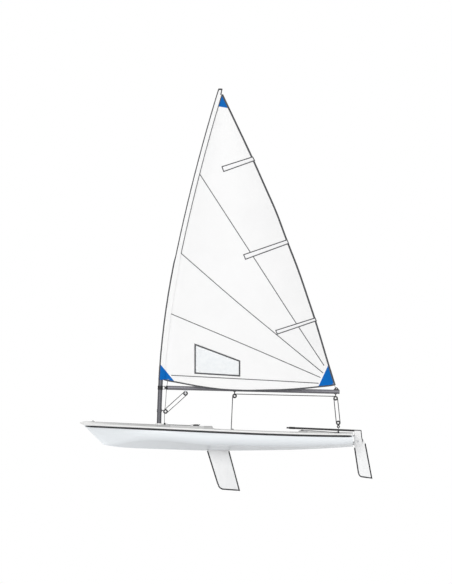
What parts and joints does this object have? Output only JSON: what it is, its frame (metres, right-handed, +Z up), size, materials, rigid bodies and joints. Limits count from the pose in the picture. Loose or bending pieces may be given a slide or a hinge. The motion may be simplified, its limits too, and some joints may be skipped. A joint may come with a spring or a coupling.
{
  "type": "sailing dinghy",
  "caption": "Single-handed sailing dinghy with decked hull, cockpit, swinging unstayed mast, boom and sleeved sail, sliding daggerboard and lifting rudder.",
  "frame": {"origin": "on the floating waterline, on the centreplane, a little aft of the hull's middle", "axes": "+X aft, towards the rudder; +Y to starboard; +Z up"},
  "size_m": [4.515, 1.3692, 6.2098],
  "materials": {
    "hull_gelcoat": "glossy gelcoat, pale blue-grey",
    "deck_gelcoat": "white gelcoat with fine non-slip",
    "foil_white": "smooth white foil",
    "anodised_spar": "satin anodised",
    "stainless": "brushed",
    "black_plastic": "moulded black plastic",
    "black_rubber": "ribbed rubber",
    "tiller_black": "black satin",
    "sailcloth": "woven white sailcloth",
    "window_film": "clear film",
    "batten_glass": "white glass-fibre strip",
    "webbing": "black webbing"
  },
  "bodies": {
    "hull": {"hull_shell": "hull_gelcoat", "deck": "deck_gelcoat", "cockpit_tub": "deck_gelcoat", "daggerboard_trunk": "deck_gelcoat", "mast_step": "deck_gelcoat", "bow_eye": "black_plastic", "mast_base_blocks": "black_plastic", "control_line_cleats": "black_plastic", "mainsheet_ratchet_block": "black_plastic", "traveller_eyes": "black_plastic", "traveller_cleat": "black_plastic", "traveller_blocks": "black_plastic", "rudder_gudgeons": "stainless", "transom_drain_plug": "black_plastic", "self_bailer": "stainless", "hiking_strap": "webbing", "hiking_strap_anchors": "black_plastic"},
    "rig": {"mast_lower": "anodised_spar", "mast_upper": "anodised_spar", "mast_joint_collar": "black_plastic", "mast_head_plug": "black_plastic", "mast_vang_tang": "stainless", "gooseneck": "black_plastic", "boom": "anodised_spar", "boom_end_caps": "black_plastic", "clew_fairlead": "black_plastic", "outhaul_cleat": "black_plastic", "boom_vang_key": "stainless", "vang_upper_block": "black_plastic", "vang_lower_block": "black_plastic", "boom_middle_block": "black_plastic", "boom_end_block": "black_plastic", "sail": "sailcloth", "sail_window": "window_film", "sail_battens": "batten_glass"},
    "rudder": {"rudder_head": "foil_white", "rudder_pintles": "stainless", "rudder_pivot_bolt": "stainless", "tiller": "tiller_black", "tiller_joint": "black_rubber"},
    "rudder_blade": {"rudder_blade": "foil_white"},
    "tiller_extension": {"tiller_extension": "tiller_black", "tiller_extension_grip": "black_rubber"},
    "daggerboard": {"daggerboard": "foil_white", "daggerboard_head": "deck_gelcoat"}
  },
  "joints": [
    {"name": "rig_swing", "type": "hinge", "parent": "hull", "child": "rig", "pos_m": [-0.89, 0, 0.325], "axis": [0.0209, 0, 0.9998], "range_deg": [-90, 90]},
    {"name": "rudder_turn", "type": "hinge", "parent": "hull", "child": "rudder", "pos_m": [2.114, 0, 0.1], "axis": [0, 0, 1], "range_deg": [-45, 45]},
    {"name": "rudder_blade_lift", "type": "hinge", "parent": "rudder", "child": "rudder_blade", "pos_m": [2.178, 0, 0.06], "axis": [0, -1, 0], "range_deg": [0, 90]},
    {"name": "tiller_extension_swing", "type": "hinge", "parent": "rudder", "child": "tiller_extension", "pos_m": [1.08611, 0.017, 0.26604], "axis": [0.0427, 0, 0.9991], "range_deg": [0, 180]},
    {"name": "daggerboard_lift", "type": "slide", "parent": "hull", "child": "daggerboard", "axis": [-0.279, 0, 0.9603], "range_m": [0, 0.58]}
  ]
}
